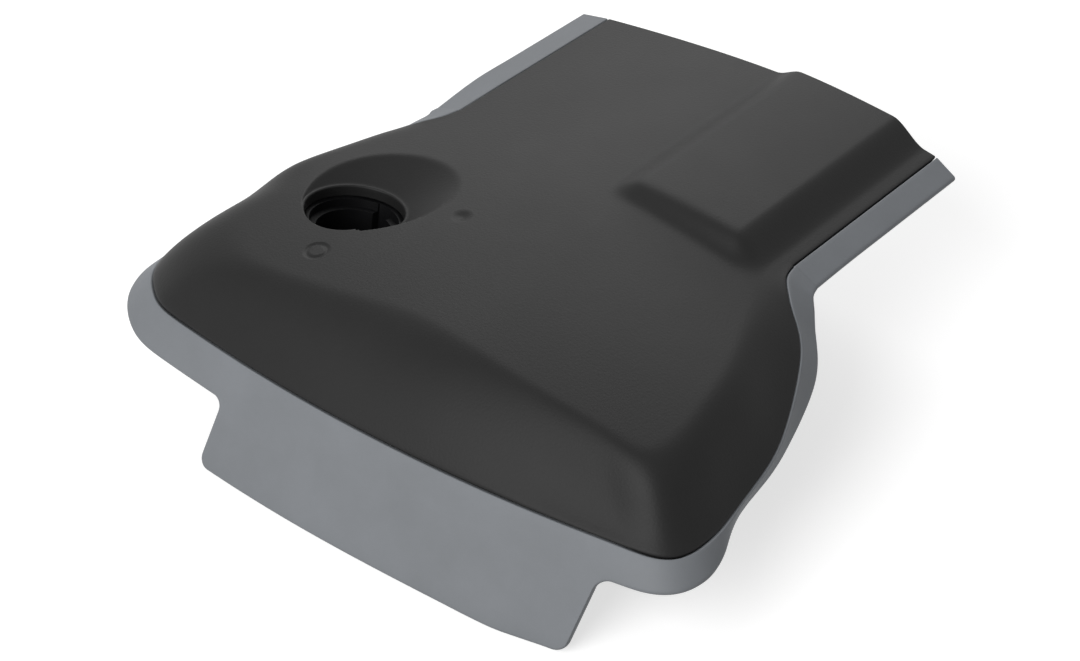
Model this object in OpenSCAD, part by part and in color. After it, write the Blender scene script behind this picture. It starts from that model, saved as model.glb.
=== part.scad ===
// Foot cover of a roof rack crossbar: a hard moulded shell with a soft rubber
// edge skirt, and a key-turned latch that locks it onto the rack foot.
// The bar's end meets the neck at y = 0, and the cover runs from there along -Y.

/* [Overall] */
// Width of the neck across its rubber edges
neck_w = 86; // [78:1:100]
// Length of the straight neck, from the bar's end to its root
neck_l = 42; // [34:1:56]
// Width of the hard shell across the foot end
foot_w = 117; // [106:1:130]
// Sideways offset of the foot end from the neck's centre line
foot_shift = 2.5; // [0:0.5:6]
// Length of the hard shell, from the bar's end to its front edge
shell_l = 110; // [98:1:132]
// Depth of the shell's front edge below the neck's side edges
front_drop = 10; // [6:0.5:14]
// Slant of the foot end across the car, as rise over run
skew = 0.05; // [0:0.01:0.08]

/* [Crown] */
// Height of the neck's crown above its side edges
crown_h = 5.8; // [4.5:0.1:8]
// Sideways place of the crown's ridge
ridge_x = 8; // [4:0.5:12]
// Fall of the crown on the gentle left side, per mm to the power 1.5
fall_left = 0.0152; // [0.012:0.0002:0.016]
// Fall of the crown on the steep right side, per mm to the power 1.5
fall_right = 0.0196; // [0.015:0.0002:0.021]
// Fall of the crown's line from the neck's root to 50 mm further on
crown_fall = 3; // [1:0.5:5]
// Width of the shoulder that rounds over into the flanks
shoulder_w = 17; // [12:0.5:20]
// Width of the tighter shoulder beside the lock
shoulder_left = 9.5; // [8:0.5:17]
// Width of the shoulder over the flared right flank
shoulder_right = 14; // [10:0.5:17]
// How far the foot of the right flank curls outwards, as a share
flank_curl = 0.7; // [0:0.05:0.9]

/* [Raised panel] */
// Left edge of the raised panel on the neck
panel_x0 = 4.6; // [2:0.2:8]
// Right edge of the raised panel's top
panel_x1 = 29; // [24:0.5:30]
// Height of the panel at its left edge
panel_h = 1.9; // [1:0.1:3]
// Extra height gained across the panel
panel_gain = 1.1; // [0:0.1:1.5]
// Width of the left bevel
panel_bevel = 2.8; // [1.5:0.1:4]
// Width of the right bank
panel_bank = 7; // [4:0.5:8]
// Length of the ramp at the panel's front end
panel_ramp = 4.5; // [3:0.5:10]

/* [Walls] */
// Wall thickness of the shell
wall = 2.2; // [1.8:0.1:3]
// Thickness of the rubber skirt
rubber_t = 1.6; // [1.2:0.1:2]
// Gap between the skirt and the flange that carries it
rubber_gap = 0.1; // [0.05:0.01:0.2]
// Thickness of the flange behind the skirt
flange_t = 1.5; // [1.2:0.1:2]
// Share of the skirt's depth that the flange backs
flange_share = 0.45; // [0.3:0.05:0.6]

/* [Skirt tongue] */
// Width of the tongue at the front of the skirt
tongue_w = 74; // [56:1:84]
// Sideways place of the tongue's centre
tongue_x = 11.5; // [0:0.5:12]
// Length of the tongue beyond the skirt's edge
tongue_l = 12.5; // [6:0.5:18]
// Radius of the tongue's lower corners
tongue_corner = 2; // [1:0.5:4]
// Fillet between the tongue's sides and the skirt's edge
tongue_fillet = 2.5; // [1:0.5:3]
// Sideways drift of the tongue's lower edge towards the lock's side
tongue_drift = 1.6; // [0:0.1:3]

/* [Lock] */
// Place of the lock across the cover
lock_x = -30; // [-34:0.5:-24]
// Place of the lock along the cover
lock_y = -76.5; // [-84:0.5:-70]
// Height of the recess floor at the lock's axis
lock_z = 0.3; // [-1:0.1:1]
// Width of the recess floor round the mouth
dish_step = 0.5; // [0.3:0.1:1]
// Spread of the recess along the cover over its 8 mm of height
dish_scale = 1.55; // [1.3:0.05:1.7]
// Spread of the recess across the cover over its 8 mm of height
dish_side = 2; // [1.5:0.05:2.1]
// Lean of the lock's axis towards the bar, in degrees
lock_tilt = 10; // [0:1:14]
// Radius of the mouth in the recess floor
mouth_r = 8.7; // [7.8:0.1:9]
// Radius of the lock barrel
barrel_r = 9.4; // [9.2:0.1:10.5]
// Running clearance of the barrel in its boss, on the radius
run_gap = 0.05; // [0.02:0.01:0.1]
// Radius of the bore that takes the lock core
core_r = 6.6; // [5.5:0.1:7]
// Depth of the bore that takes the lock core
core_l = 7.5; // [6:0.5:8]
// Radius of the counterbore that takes the core's head
head_seat_r = 7.8; // [7.2:0.1:8.2]
// Depth of that counterbore
head_seat_l = 1.5; // [1:0.1:2]
// Thickness of the plate between the recess floor and the barrel
floor_t = 2; // [1.5:0.1:2.5]
// Length of the barrel
barrel_l = 12.6; // [11:0.2:14]
// Wall of the boss round the barrel
boss_wall = 3; // [2:0.25:3.5]
// Reach of the latch cam from the lock's axis
cam_reach = 21; // [17:0.5:24]
// Thickness of the latch cam
cam_t = 1.8; // [1.5:0.1:2.5]
// Width of the cam's arm
cam_w = 11; // [8:0.5:13]
// Side of the square tang that drives the cam
tang_w = 8; // [6:0.5:9]
// Radius of the screw's shank
screw_r = 1.9; // [1.5:0.1:2.2]

/* [Ribs and hooks] */
// Thickness of the stiffening ribs
rib_t = 1.6; // [1.2:0.1:2.2]
// Depth of the ribs under the foot end, below the neck's side edges
rib_drop = 6; // [3:0.5:7]
// Thickness of the web that closes the neck at the bar's end
web_t = 2.4; // [1.8:0.1:3]
// Depth of that web below the neck's side edges
web_drop = 1.5; // [1:0.1:2]
// How far that web stands proud of the neck's rim
web_proud = 0.3; // [0.2:0.1:0.6]
// Spacing of the two hooks across the neck
hook_gap = 36; // [28:1:44]
// Width of each hook
hook_w = 9; // [6:0.5:12]
// Reach of the hooks below the neck's side edges
hook_drop = 7; // [5:0.5:10]

/* [Hidden] */
$fn = 64;
eps = 0.01;

// Half widths of the neck and the foot at the seam, on the right and the left
band_right = 4.5;
band_left = 6.5;
neck_half = [neck_w / 2 - band_right, neck_w / 2 - band_left];
foot_half = [foot_w / 2 + foot_shift, foot_w / 2 - foot_shift];

// The seam from the neck's root round the flank to the corner. Each row holds
// the share of the widening, of the length and of the drop, then how far the
// skirt stands out on the right and the left, and hangs down on either side.
FLARE = [
    [0.00, 0.00, 0.00, 4.6, 6.6, 2.8, 2.8],
    [0.05, 0.06, 0.00, 4.8, 6.4, 3.2, 3.0],
    [0.21, 0.12, 0.08, 4.6, 5.6, 4.2, 3.6],
    [0.53, 0.22, 0.36, 2.8, 4.4, 5.4, 3.9],
    [0.85, 0.44, 0.75, 0.1, 3.3, 4.0, 3.0],
    [0.96, 0.63, 0.93, -0.9, 3.3, 4.0, 3.0],
    [1.00, 0.77, 1.00, 2.2, 4.1, 3.8, 3.9],
    [0.93, 0.88, 1.00, 4.8, 5.2, 3.2, 5.2]
];
corner_run = 9.5;
corner_out = [2.2, 4.5];
corner_down = [5.6, 5.8];
front_bow = 4;
front_out = 3.5;
front_down = 7;
corner_blend = 16;
// How far the skirt hangs down along the neck, on the right and the left
neck_down = [2.6, 1.4];

// Columns of faces along the neck, in each span of the seam and at the front
neck_cols = 4;
flare_cols = 4;
front_cols = 9;
side_cols = 3;
mid_cols = 7;
// Shares of the way from the seam to the spine at which rows of faces lie
ROWS = [0, 0.02, 0.06, 0.11, 0.165, 0.215, 0.26, 0.34, 0.5, 0.66, 0.8, 0.88, 1];
last_row = len(ROWS) - 1;

function clamp01(v) = min(1, max(0, v));
function smooth(v) = let(u = clamp01(v)) u * u * (3 - 2 * u);
function mix(a, b, t) = a + (b - a) * t;
function unit(v) = v / norm(v);

// Smooth curve through a list of points, at place t of span i
function through(p, i, t) =
    let(
        a = p[max(i - 1, 0)],
        b = p[i],
        c = p[i + 1],
        d = p[min(i + 2, len(p) - 1)]
    )
    0.5 * (2 * b + (c - a) * t + (2 * a - 5 * b + 4 * c - d) * t * t
        + (3 * b - a - 3 * c + d) * t * t * t);

// How far the panel's top runs past the neck's root, and where the crown's
// line starts to fall
panel_past = 4;
droop_start = 4;
droop_run = 50;

// Height of the crown above the neck's side edges, before the shoulders
function spread(y) =
    mix(1, neck_half[0] / foot_half[0] * 1.1, smooth((-neck_l - y) / (shell_l * 0.36)));
function arch(x) =
    crown_h - (x < ridge_x ? fall_left : fall_right) * pow(abs(x - ridge_x), 1.5);
function panel(x, y) =
    (panel_h + panel_gain * clamp01((x - panel_x0 - panel_bevel) / (panel_x1 - panel_x0 - panel_bevel)))
    * smooth((x - panel_x0) / panel_bevel)
    * (1 - smooth((x - panel_x1) / panel_bank))
    * smooth((y + neck_l + panel_past + panel_ramp) / panel_ramp);
function droop(y) = crown_fall * pow(max(0, -neck_l - droop_start - y) / droop_run, 2);
function crown(x, y) = arch(x * spread(y)) + panel(x, y) - droop(y);

// The front edge of the seam
function front_y(x) = -shell_l + front_bow * pow(x / 50, 2) + skew * x;

// Extra depth of the skirt's edge at the tongue, at x across the right or the
// left half. The tongue's side leans in from its fillet to its lower corner.
tongue_lean = [0.8, 0.3];
tongue_slant = [1.8, 0];
function tongue_edge(s) = tongue_w / 2 + (s == 0 ? 1 : -1) * tongue_x;
function tongue_at(s, x) =
    let(
        edge = tongue_edge(s),
        low = edge - tongue_lean[s],
        full = tongue_l + tongue_slant[s] * pow(clamp01(x / edge), 3),
        round_z = full - tongue_corner
    )
    x > edge + tongue_fillet ? 0
    : x > edge ? tongue_fillet - sqrt(pow(tongue_fillet, 2) - pow(edge + tongue_fillet - x, 2))
    : x > low ? mix(tongue_fillet, round_z, (edge - x) / tongue_lean[s])
    : x > low - tongue_corner
        ? round_z + sqrt(pow(tongue_corner, 2) - pow(x - low + tongue_corner, 2))
    : full;

// Places across the front at which columns of faces lie, from corner to centre
function tongue_cols(s) =
    let(edge = tongue_edge(s), low = edge - tongue_lean[s])
    concat(
        [for (u = [1, 0.75, 0.5, 0.25]) edge + tongue_fillet * u],
        [edge, low],
        [for (u = [0.2, 0.5, 1]) low - tongue_corner * u]
    );
function front_x(s, fine) =
    let(
        start = foot_half[s] - corner_run,
        cluster = tongue_cols(s),
        far = cluster[len(cluster) - 1]
    )
    fine
    ? concat(
        [for (i = [0:side_cols - 1]) mix(start, cluster[0], i / side_cols)],
        cluster,
        [for (i = [1:mid_cols]) mix(far, 0, i / mid_cols)]
    )
    : [for (i = [0:front_cols - 1]) mix(start, 0, i / (front_cols - 1))];

// Stations of the right (0) or left (1) side from the bar's end to the front
// centre, each with x, y, z of the seam, the skirt's reach out and down, and
// its extra depth. The skirt has more of them than the shell, for its tongue.
function flare_rows(s) =
    let(
        side = s == 0 ? 1 : -1,
        wide = foot_half[s] - neck_half[s],
        long = shell_l - neck_l,
        z0 = crown(side * neck_half[s], 0),
        x_end = foot_half[s] - corner_run
    )
    concat(
        [for (r = FLARE)
            let(x = neck_half[s] + wide * r[0])
            [
                side * x,
                -neck_l - long * r[1] + skew * side * (x - neck_half[s]),
                mix(z0, -front_drop, r[2]), r[3 + s], r[5 + s]
            ]
        ],
        [[side * x_end, front_y(side * x_end), -front_drop, corner_out[s], corner_down[s]]]
    );
function side_stations(s, fine) =
    let(
        side = s == 0 ? 1 : -1,
        rows = flare_rows(s),
        last = len(rows) - 1,
        z0 = crown(side * neck_half[s], 0),
        fx = front_x(s, fine)
    )
    concat(
        [for (i = [0:neck_cols - 1])
            [
                side * neck_half[s], mix(-web_proud, -neck_l, i / neck_cols), z0,
                [band_right, band_left][s], neck_down[s], 0
            ]
        ],
        [for (i = [0:last - 1], j = [0:flare_cols - 1])
            concat(through(rows, i, j / flare_cols), [0])
        ],
        [for (x = fx)
            let(t = smooth((fx[0] - x) / corner_blend))
            [
                side * x, front_y(side * x), -front_drop,
                mix(corner_out[s], front_out, t), mix(corner_down[s], front_down, t),
                tongue_at(s, x)
            ]
        ]
    );

// All stations round the cover, left neck first, front centre shared
function stations(fine) =
    let(right = side_stations(0, fine), left = side_stations(1, fine))
    concat(left, [for (i = [len(right) - 2:-1:0]) right[i]]);
SHELL = stations(false);
SKIRT = stations(true);
count = len(SHELL);
cols = (count + 1) / 2;
function side_index(k) = k < cols ? k : count - 1 - k;
function seam(L, k) = [L[k][0], L[k][1], L[k][2]];

// Outward direction of the seam in plan
function outward(L, k) =
    let(
        a = L[max(k - 1, 0)],
        b = L[min(k + 1, len(L) - 1)],
        t = unit([b[0] - a[0], b[1] - a[1]])
    )
    [t[1], -t[0]];

// The spine that the rows of faces run to
neck_last = neck_cols;
spine_end = -neck_l - 0.46 * (shell_l - neck_l);
function spine(k) =
    let(i = side_index(k))
    i <= neck_last ? [0, SHELL[i][1]]
    : [0, mix(-neck_l, spine_end, pow((i - neck_last) / (cols - 1 - neck_last), 0.8))];

// Shoulder: its width and sharpness change from the neck to the foot
function past_neck(k) = (side_index(k) - neck_last) / flare_cols;
function shoulder(k) =
    let(
        r = past_neck(k),
        w = k < cols ? mix(shoulder_left, shoulder_w, smooth(r - 4))
            : mix(shoulder_right, shoulder_w, smooth(r - 7))
    )
    max(2, w * smooth(r / 4));
function sharp(k) = mix(2.6, 1.8, smooth((past_neck(k) / len(FLARE) - 0.75) / 0.4));
function curl(k) =
    let(r = past_neck(k))
    k < cols ? 0 : flank_curl * smooth((r - 1.5) / 2.5) * (1 - smooth((r - 8) / 1.5));
function round_over(u, n, b) = let(v = clamp01(u)) pow(1 - v, n) * (1 + n * b * v);

// Skirt and flange frame at a station: directions along the skirt and into it
function reach(L, k) = [L[k][3], L[k][4]];
function along(L, k) =
    let(n = outward(L, k), r = unit(reach(L, k)))
    [n[0] * r[0], n[1] * r[0], -r[1]];
function inward(L, k) =
    let(n = outward(L, k), r = unit(reach(L, k)))
    [-n[0] * r[1], -n[1] * r[1], -r[0]];
function step_pt(k) = seam(SHELL, k) + inward(SHELL, k) * (rubber_t + rubber_gap);
function flange_out(k) =
    step_pt(k) + along(SHELL, k) * flange_share * norm(reach(SHELL, k));
function flange_in(k) = flange_out(k) + inward(SHELL, k) * flange_t;
function inner_start(k) =
    step_pt(k) + inward(SHELL, k) * flange_t - along(SHELL, k) * (1 - 1.6 * curl(k));

// A point of the outer or the inner skin, s of the way from the edge to the spine
function skin(k, s, from, lower) =
    let(
        e = from,
        c = spine(k),
        x = mix(e[0], c[0], s),
        y = mix(e[1], c[1], s),
        d = norm([e[0] - c[0], e[1] - c[1]]) * s,
        rise = crown(e[0], e[1]) - lower - e[2]
    )
    [x, y, crown(x, y) - lower - rise * round_over(d / shoulder(k), sharp(k), curl(k))];
function outer(k, s) = skin(k, s, seam(SHELL, k), 0);
function inner(k, s) = skin(k, s, inner_start(k), wall);

// Solid of the shell's wall, as rings of faces from the spine out and back
ring_len = 2 * last_row + 3;
function shell_ring(k) =
    concat(
        [for (j = [last_row - 1:-1:0]) outer(k, ROWS[j])],
        [step_pt(k), flange_out(k), flange_in(k)],
        [for (j = [0:last_row - 1]) inner(k, ROWS[j])]
    );
shell_points = concat(
    [for (k = [0:count - 1]) each shell_ring(k)],
    [for (i = [0:cols - 1]) outer(i, 1)],
    [for (i = [0:cols - 1]) inner(i, 1)]
);
function ring_at(k, j) = k * ring_len + j;
function spine_out(k) = count * ring_len + side_index(k);
function spine_in(k) = count * ring_len + cols + side_index(k);
// One quad as two triangles, and triangles turned to face the other way
function quad(a, b, c, d) = [[a, b, c], [a, c, d]];
function turned(faces) = [for (f = faces) [f[2], f[1], f[0]]];
// The rim at the bar's end, as strips between the outer and the inner rows
function row_out(k, j) = j == last_row ? spine_out(k) : ring_at(k, last_row - 1 - j);
function row_in(k, j) = j == last_row ? spine_in(k) : ring_at(k, last_row + 3 + j);
function rim_faces(k) =
    let(step = ring_at(k, last_row))
    concat(
        [for (j = [0:last_row - 1])
            each quad(row_out(k, j + 1), row_out(k, j), row_in(k, j), row_in(k, j + 1))
        ],
        [[row_out(k, 0), step, row_in(k, 0)]],
        quad(step, step + 1, step + 2, row_in(k, 0))
    );
shell_faces = concat(
    [for (k = [0:count - 2], j = [0:ring_len - 2])
        each quad(ring_at(k, j), ring_at(k + 1, j), ring_at(k + 1, j + 1), ring_at(k, j + 1))
    ],
    [for (k = [0:count - 2])
        each quad(spine_out(k), spine_out(k + 1), ring_at(k + 1, 0), ring_at(k, 0))
    ],
    [for (k = [0:count - 2])
        each quad(
            ring_at(k, ring_len - 1), ring_at(k + 1, ring_len - 1), spine_in(k + 1), spine_in(k)
        )
    ],
    rim_faces(0),
    turned(rim_faces(count - 1))
);

// Frame of the lock: w runs up its axis from the recess floor
module at_lock() {
    translate([lock_x, lock_y, lock_z]) rotate([-lock_tilt, 0, 0]) children();
}
dish_h = 8;
dish_pivot = mouth_r + 2;
bore_past = 10;
boss_r = barrel_r + boss_wall;
barrel_gap = 0.15;
barrel_top = -floor_t - barrel_gap;
barrel_end = barrel_top - barrel_l;
boss_end = barrel_end + 0.1;
cam_gap = 0.1;
cam_top = barrel_end - cam_gap;
cam_end = cam_top - cam_t;
tang_short = 0.2;
tang_end = cam_end + tang_short;
tang_gap = 0.1;
screw_gap = 0.05;
thread_gap = 0.05;
head_top = cam_end - screw_gap;
head_h = 2.2;
head_r = 5.4;
screw_bite = 2.8;
screw_short = 0.3;
hole_end = barrel_end + screw_bite;

module cover_shell() {
    color([0.13, 0.13, 0.13])
    difference() {
        union() {
            polyhedron(shell_points, shell_faces, convexity = 8);
            lock_boss();
            end_web();
            cross_ribs();
            long_ribs();
            hooks();
        }
        at_lock() recess();
    }
}

// Boss round the barrel and pad behind the recess, both cut off just under the
// outer skin
pad_x = 1;
pad_y = 5;
pad_r = 13.5;
pad_h = 12;
// Share of the wall by which ribs, web and hooks run into it
root_share = 0.55;
module lock_boss() {
    depth = wall * 0.5;
    slope_x = (crown(lock_x + 4, lock_y) - crown(lock_x - 4, lock_y)) / 8;
    slope_y = (crown(lock_x, lock_y + 4) - crown(lock_x, lock_y - 4)) / 8;
    block = 4 * boss_r;
    intersection() {
        at_lock() union() {
            translate([0, 0, boss_end]) cylinder(r = boss_r, h = pad_h - boss_end);
            translate([pad_x, pad_y, -floor_t]) cylinder(r = pad_r, h = floor_t + pad_h);
        }
        translate([lock_x, lock_y, crown(lock_x, lock_y) - depth])
            rotate([atan(slope_y), -atan(slope_x), 0])
            translate([-block / 2, -block / 2, -block])
            cube(block);
    }
}

// Dished recess that opens towards the bar, mouth and barrel bore
module recess() {
    translate([0, -dish_pivot, 0]) linear_extrude(dish_h, scale = [dish_side, dish_scale], slices = 1)
        translate([0, dish_pivot]) circle(r = mouth_r + dish_step, $fn = 48);
    translate([0, 0, -floor_t - 1]) cylinder(r = mouth_r, h = floor_t + 2);
    translate([0, 0, boss_end - bore_past])
        cylinder(r = barrel_r + run_gap, h = bore_past - boss_end - floor_t);
}

// Web that closes the neck where it meets the bar's end
module end_web() {
    side_inset = 1.2;
    x0 = -neck_half[1] + side_inset;
    x1 = neck_half[0] - side_inset;
    n = 24;
    rotate([90, 0, 0]) linear_extrude(web_t)
        polygon(concat(
            [[x1, -web_drop], [x0, -web_drop]],
            [for (i = [0:n]) let(x = mix(x0, x1, i / n)) [x, crown(x, 0) - wall * root_share]]
        ));
}

// Ribs across the cover, one along each chosen station line, both sides alike
rib_stations = [
    2, neck_cols + 1, neck_cols + flare_cols * 3 + 1, neck_cols + flare_cols * 5,
    neck_cols + flare_cols * 7 + 1, cols - front_cols + 2
];
rib_run = 30;
rib_least = 0.5;
function rib_floor(y) =
    mix(-web_drop, -rib_drop, smooth((-neck_l - y) / rib_run));
module cross_ribs() {
    for (i = rib_stations, k = [i, count - 1 - i]) cross_rib(k);
}
module cross_rib(k) {
    c = spine(k);
    e = inner_start(k);
    reach_len = norm([e[0] - c[0], e[1] - c[1]]);
    turn = atan2(e[1] - c[1], e[0] - c[0]);
    steps = [0.02, 0.07, 0.13, 0.2, 0.28, 0.38, 0.5, 0.62, 0.74, 0.86, 1];
    top = [for (s = steps)
        let(a = outer(k, s), b = inner(k, s)) [reach_len * (1 - s), (a[2] + b[2]) / 2]
    ];
    foot_z = [for (s = [1, 0.02])
        [reach_len * (1 - s), min(rib_floor(mix(e[1], c[1], s)), inner(k, s)[2] - rib_least)]
    ];
    translate([c[0], c[1], 0]) rotate([90, 0, turn])
        translate([0, 0, -rib_t / 2]) linear_extrude(rib_t)
        polygon(concat(top, foot_z));
}

// Ribs along the cover
long_rib_x = [-14, 4, 22];
long_rib_end = -92;
module long_ribs() {
    n = 22;
    y0 = -web_t / 2;
    for (x = long_rib_x)
        translate([x + rib_t / 2, 0, 0]) rotate([90, 0, -90]) linear_extrude(rib_t)
            polygon(concat(
                [for (i = [0:n])
                    let(y = mix(y0, long_rib_end, i / n)) [-y, crown(x, y) - wall * root_share]
                ],
                [[-long_rib_end, -rib_drop], [neck_l + rib_run, -rib_drop], [neck_l, -web_drop],
                    [-y0, -web_drop]]
            ));
}

// Two hooks that catch under the bar's end: a stem with a nose on its foot,
// thinner at the nose's tip than at its root
hook_back = 8;
hook_t = 2.4;
nose_l = 3.2;
nose_t = [1.2, 3];
module hooks() {
    stem = -hook_back + hook_t;
    tip = stem + nose_l;
    for (x = [-hook_gap / 2, hook_gap / 2])
        let(root = crown(x, -hook_back) - wall * root_share)
        translate([x - hook_w / 2, 0, 0]) rotate([90, 0, 90]) linear_extrude(hook_w)
            polygon([
                [-hook_back, root], [-hook_back, -hook_drop], [tip, -hook_drop],
                [tip, -hook_drop + nose_t[0]], [stem, -hook_drop + nose_t[1]], [stem, root]
            ]);
}

// Rubber skirt: a strip that laps over the flange and hangs below it
skirt_seam = 0.15;
function skirt_ring(k) =
    let(
        start = seam(SKIRT, k),
        dir = along(SKIRT, k),
        extra = SKIRT[k][5],
        drift = [-tongue_drift * extra / tongue_l, 0, 0],
        top = start + dir * skirt_seam,
        low = start + dir * (norm(reach(SKIRT, k)) + extra) + drift,
        t = inward(SKIRT, k) * rubber_t
    )
    [top, low, low + t, top + t];
skirt_last = len(SKIRT) - 1;
skirt_points = [for (k = [0:skirt_last]) each skirt_ring(k)];
skirt_faces = concat(
    [for (k = [0:skirt_last - 1], j = [0:3])
        each quad(k * 4 + j, (k + 1) * 4 + j, (k + 1) * 4 + (j + 1) % 4, k * 4 + (j + 1) % 4)
    ],
    [[0, 1, 2, 3]],
    [[for (j = [3:-1:0]) skirt_last * 4 + j]]
);
module edge_skirt() {
    color([0.46, 0.48, 0.5])
    polyhedron(skirt_points, skirt_faces, convexity = 8);
}

// Barrel that takes the lock core and turns the latch. The core's head sits in
// the counterbore, and its driver in the keyway.
keyway_w = 3;
keyway_out = 1.4;
keyway_floor = 2;
module lock_barrel() {
    core_top = barrel_top - head_seat_l;
    core_end = core_top - core_l;
    color([0.1, 0.1, 0.1])
    at_lock() difference() {
        union() {
            translate([0, 0, barrel_end]) cylinder(r = barrel_r, h = barrel_l);
            translate([-tang_w / 2, -tang_w / 2, tang_end])
                cube([tang_w, tang_w, barrel_end - tang_end + 1]);
        }
        translate([0, 0, core_end]) cylinder(r = core_r, h = core_l + 1);
        translate([0, 0, core_top]) cylinder(r = head_seat_r, h = head_seat_l + 1);
        translate([-keyway_w / 2, 0, core_end + keyway_floor])
            cube([keyway_w, core_r + keyway_out, core_l + head_seat_l]);
        translate([0, 0, tang_end - 1])
            cylinder(r = screw_r - thread_gap * 2, h = hole_end - tang_end + 1);
    }
}

// Steel latch cam with a square hole, driven by the barrel's tang
cam_tip_r = 3;
cam_hub = 1.4;
module latch_cam() {
    tip_x = cam_reach - cam_tip_r;
    color([0.72, 0.73, 0.74])
    at_lock() translate([0, 0, cam_end]) linear_extrude(cam_t)
        difference() {
            union() {
                circle(r = barrel_r + cam_hub);
                translate([0, -cam_w / 2]) square([tip_x, cam_w]);
                hull() for (y = [-1, 1])
                    translate([tip_x, y * (cam_w / 2 - cam_tip_r)]) circle(r = cam_tip_r, $fn = 32);
            }
            square(tang_w + 2 * tang_gap, center = true);
        }
}

// Screw that holds the cam on the barrel
slot_w = 1.2;
slot_d = 1;
module cam_screw() {
    color([0.6, 0.61, 0.62])
    at_lock() difference() {
        union() {
            translate([0, 0, head_top - head_h]) cylinder(r = head_r, h = head_h);
            translate([0, 0, head_top - eps])
                cylinder(r = screw_r - thread_gap * 3, h = hole_end - head_top - screw_short);
        }
        translate([-head_r - 1, -slot_w / 2, head_top - head_h - 1])
            cube([2 * head_r + 2, slot_w, 1 + slot_d]);
    }
}

cover_shell();
edge_skirt();
lock_barrel();
latch_cam();
cam_screw();
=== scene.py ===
import bmesh
import bpy
import numpy as np
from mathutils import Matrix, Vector
from mathutils.bvhtree import BVHTree
from mathutils.geometry import delaunay_2d_cdt


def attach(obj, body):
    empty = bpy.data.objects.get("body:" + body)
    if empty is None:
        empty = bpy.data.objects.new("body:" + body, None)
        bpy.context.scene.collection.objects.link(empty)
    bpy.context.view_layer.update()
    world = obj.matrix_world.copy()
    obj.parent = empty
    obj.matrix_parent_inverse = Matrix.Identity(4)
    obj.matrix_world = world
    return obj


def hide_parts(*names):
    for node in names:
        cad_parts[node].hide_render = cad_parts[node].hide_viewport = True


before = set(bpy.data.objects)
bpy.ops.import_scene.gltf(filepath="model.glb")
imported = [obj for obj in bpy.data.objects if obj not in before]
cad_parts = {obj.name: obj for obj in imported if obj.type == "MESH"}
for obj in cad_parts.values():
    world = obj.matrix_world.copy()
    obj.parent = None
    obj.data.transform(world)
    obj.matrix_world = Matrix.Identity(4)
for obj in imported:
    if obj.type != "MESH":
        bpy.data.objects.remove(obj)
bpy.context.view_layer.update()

# ---------------------------------------------------------------------------
# Cover shell: the hard black cap that hides the foot of the rack. It is one
# injection moulding in a tough plastic with a fine grain, drawn wide at the
# foot and narrow at the neck, with a raised panel and a dished lock recess.

# Sizes are in millimetres. Where both sides have a size, the right side's is first.
MM = 0.001
neck_half, foot_half = (38.5, 36.5), (61.0, 56.0)
neck_length, shell_length = 42.0, 110.0
rim_setback, wall = 0.3, 2.2
front_drop, skew = 10.0, 0.05
front_bow, bow_half = 4.0, 50.0

# The top is arched about a line right of the middle, and droops towards the front
arch_line, arch_height, arch_power = 8.0, 5.8, 1.5
arch_fall_left, arch_fall_right = 0.0152, 0.0196
foot_widening, widening_share = 1.1, 0.36
droop, droop_start, droop_run = 3.0, 4.0, 50.0

# The panel's height at its left side and what it gains to its right, and where
# each of its slopes starts and how wide it is
panel_height, panel_gain = 1.9, 1.1
panel_left, panel_width = 7.4, 21.6
left_slope, right_slope, foot_slope = (3.4, 5.4), (29.0, 7.0), (8.5, 4.5)

# Share of the widening, of the length and of the drop along the flank, then
# the skirt's reach outwards on the right and the left, and downwards on either
flank = np.array([
    [0.00, 0.00, 0.00, 4.6, 6.6, 2.8, 2.8],
    [0.05, 0.06, 0.00, 4.8, 6.4, 3.2, 3.0],
    [0.21, 0.12, 0.08, 4.6, 5.6, 4.2, 3.6],
    [0.53, 0.22, 0.36, 2.8, 4.4, 5.4, 3.9],
    [0.85, 0.44, 0.75, 0.1, 3.3, 4.0, 3.0],
    [0.96, 0.63, 0.93, -0.9, 3.3, 4.0, 3.0],
    [1.00, 0.77, 1.00, 2.2, 4.1, 3.8, 3.9],
    [0.93, 0.88, 1.00, 4.8, 5.2, 3.2, 5.2],
])

# The skirt's reach outwards and downwards at the neck, the front corners and the front
neck_reach, corner_reach = ((4.5, 2.6), (6.5, 1.4)), ((2.2, 5.6), (4.5, 5.8))
front_reach = (3.5, 7.0)
corner_run, front_blend = 9.5, 16.0
neck_columns, flank_columns, front_columns = 4, 4, 9


def smooth(v):
    u = np.clip(v, 0.0, 1.0)
    return u * u * (3.0 - 2.0 * u)


def mix(a, b, t):
    return a + (b - a) * t


def crown(x, y):
    """Height of the shell's top over the neck's side edges, before its shoulders."""
    past_neck = -neck_length - y
    at_foot = neck_half[0] / foot_half[0] * foot_widening
    across = x * mix(1.0, at_foot, smooth(past_neck / (shell_length * widening_share)))
    fall = np.where(across < arch_line, arch_fall_left, arch_fall_right)
    arch = arch_height - fall * np.abs(across - arch_line) ** arch_power
    panel = panel_height + panel_gain * np.clip((x - panel_left) / panel_width, 0, 1)
    panel = panel * smooth((x - left_slope[0]) / left_slope[1])
    panel = panel * (1 - smooth((x - right_slope[0]) / right_slope[1]))
    panel = panel * smooth((y + neck_length + foot_slope[0]) / foot_slope[1])
    return arch + panel - droop * (np.maximum(0.0, past_neck - droop_start) / droop_run) ** 2


def front_line(x):
    return -shell_length + front_bow * (x / bow_half) ** 2 + skew * x


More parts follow.
